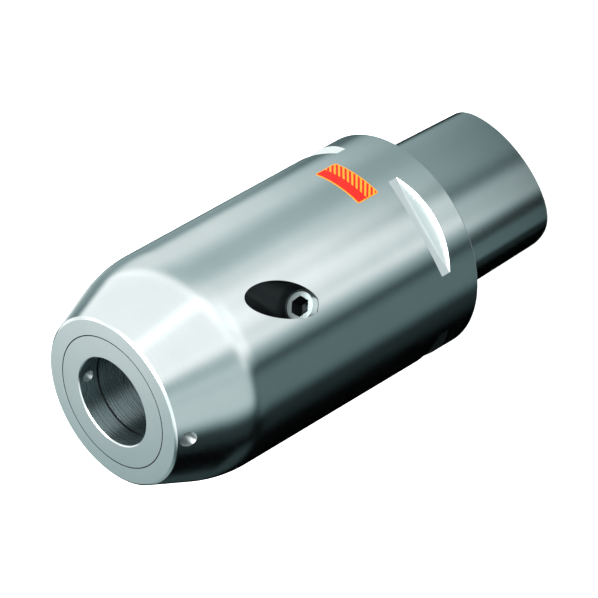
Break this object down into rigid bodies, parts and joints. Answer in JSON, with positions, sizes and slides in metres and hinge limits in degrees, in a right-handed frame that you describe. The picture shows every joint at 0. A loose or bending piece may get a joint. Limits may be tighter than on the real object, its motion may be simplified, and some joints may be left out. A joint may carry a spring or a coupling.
{
  "type": "hydraulic chuck",
  "caption": "Hydraulic expansion tool chuck: tapered nose with a round tool bore, slanted clamping screw, gripper grooves and a tapered polygon shank.",
  "frame": {"origin": "centre of the flange's contact face, where the polygon taper shank begins", "axes": "+Z along the tool axis, towards the nose; +X through the middle of one gripper groove"},
  "size_m": [0.05, 0.05, 0.1135],
  "materials": {
    "body_steel": "fine turned and ground",
    "sleeve_steel": "ground",
    "screw_steel": "machined",
    "ball_steel": "polished",
    "piston_steel": "ground",
    "stop_steel": "blackened",
    "support_plastic": "machined",
    "seal_rubber": "moulded",
    "ring_rubber": "moulded"
  },
  "bodies": {
    "housing": {"chuck_body": "body_steel", "expansion_sleeve": "sleeve_steel", "filler_ball": "ball_steel", "filler_screw": "screw_steel"},
    "piston_train": {"pressure_ball": "ball_steel", "clamping_piston": "piston_steel", "seal_support_ring": "support_plastic", "piston_seal": "seal_rubber"},
    "clamping_screw": {"clamping_screw": "screw_steel"},
    "stop_ring": {"stop_screw_ring": "ring_rubber"},
    "stop_screw": {"stop_screw": "stop_steel"}
  },
  "joints": [
    {"name": "piston_slide", "type": "slide", "parent": "housing", "child": "piston_train", "axis": [-0.4498, -0.4498, -0.7716], "range_m": [0, 0.004]},
    {"name": "clamping_screw_turn", "type": "hinge", "parent": "piston_train", "child": "clamping_screw", "pos_m": [0.02496, 0.00145, 0.0516], "axis": [-0.4498, -0.4498, -0.7716], "range_deg": [0, 1440]},
    {"name": "stop_slide", "type": "slide", "parent": "housing", "child": "stop_ring", "axis": [0, 0, 1], "range_m": [0, 0.007]},
    {"name": "stop_screw_turn", "type": "hinge", "parent": "stop_ring", "child": "stop_screw", "pos_m": [0, 0, 0.01002], "axis": [0, 0, 1], "range_deg": [0, 2520]}
  ],
  "couplings": [
    {"joint": "clamping_screw_turn", "follows": "piston_slide", "rad_per_m": 6283.2},
    {"joint": "stop_screw_turn", "follows": "stop_slide", "rad_per_m": 6283.2}
  ]
}
